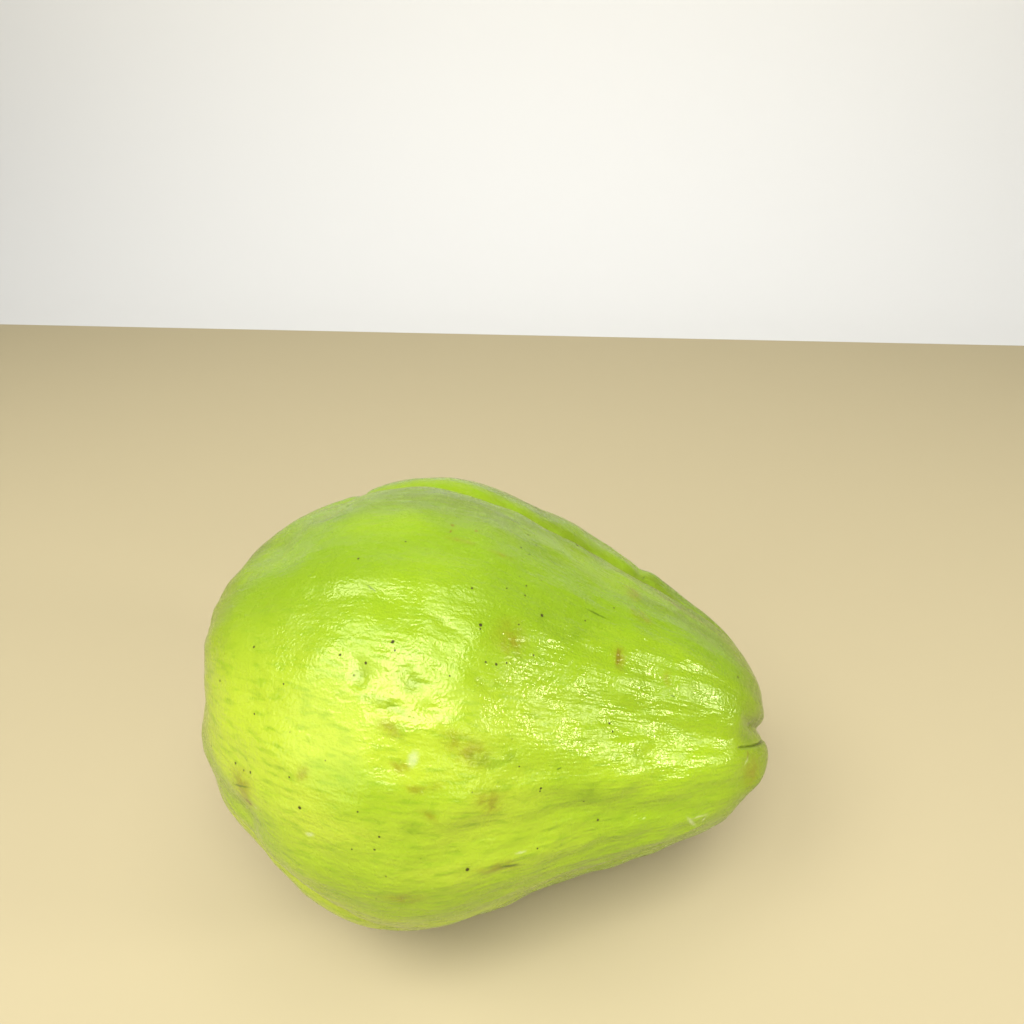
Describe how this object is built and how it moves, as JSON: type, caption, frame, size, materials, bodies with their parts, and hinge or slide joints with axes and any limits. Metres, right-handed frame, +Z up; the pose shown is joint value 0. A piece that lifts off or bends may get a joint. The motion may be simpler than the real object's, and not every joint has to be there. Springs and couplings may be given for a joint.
{
  "type": "chayote squash",
  "caption": "Whole pear-shaped chayote squash lying on its belly: waxy yellow-green skin, lengthwise furrows, a puckered mouth at the narrow end and a stem dimple at the broad end.",
  "frame": {"origin": "bottom centre of the fruit's bounding box, on the surface that it lies on", "axes": "+Z up, +X towards the narrow end with the mouth, -X towards the broad stem end, -Y the near side with the mouth's furrow"},
  "size_m": [0.1294, 0.1114, 0.0958],
  "materials": {
    "chayote_skin": "waxy, finely wrinkled"
  },
  "bodies": {
    "root": {"chayote": "chayote_skin"}
  },
  "joints": []
}
